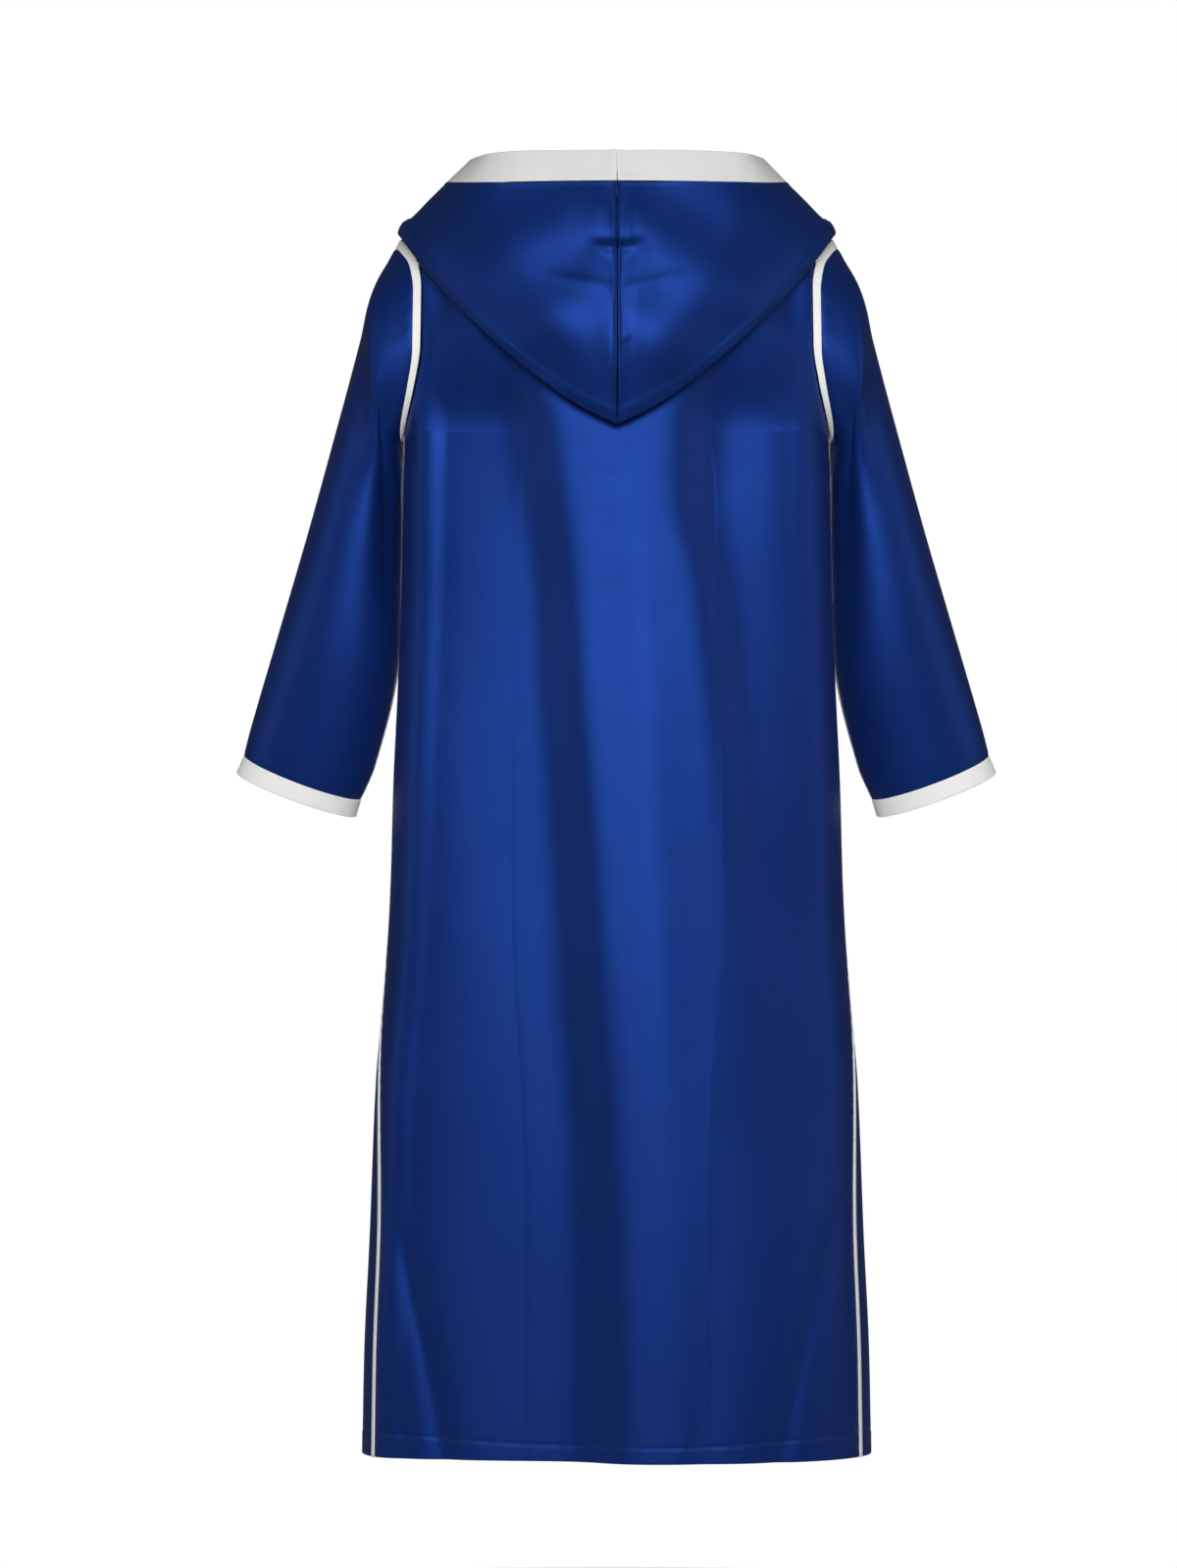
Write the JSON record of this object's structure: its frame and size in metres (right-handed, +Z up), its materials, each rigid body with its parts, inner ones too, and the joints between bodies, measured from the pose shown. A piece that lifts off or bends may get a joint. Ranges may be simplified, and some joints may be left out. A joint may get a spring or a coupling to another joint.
{
  "type": "hooded djellaba robe",
  "caption": "Long hooded djellaba robe in blue cloth with ivory trim, filled out with no wearer, hood down and sleeves hanging.",
  "frame": {"origin": "midway between the two high points of the shoulders, where the robe hangs on its wearer's shoulders", "axes": "+Z up, +Y the way the wearer faces, +X the wearer's right"},
  "size_m": [0.844, 0.3371, 1.4229],
  "materials": {
    "blue_cloth": "smooth fine twill with a satin sheen",
    "ivory_trim": "plain ivory band and ribbed piping, matt"
  },
  "bodies": {
    "root": {"back_panel": "blue_cloth", "front_panel": "blue_cloth", "sleeve_left": "blue_cloth", "sleeve_right": "blue_cloth", "hood_left": "blue_cloth", "hood_right": "blue_cloth", "hood_band_left": "ivory_trim", "hood_band_right": "ivory_trim", "armhole_band_left": "ivory_trim", "armhole_band_right": "ivory_trim", "cuff_band_left": "ivory_trim", "cuff_band_right": "ivory_trim", "side_piping_left": "ivory_trim", "side_piping_right": "ivory_trim"}
  },
  "joints": []
}
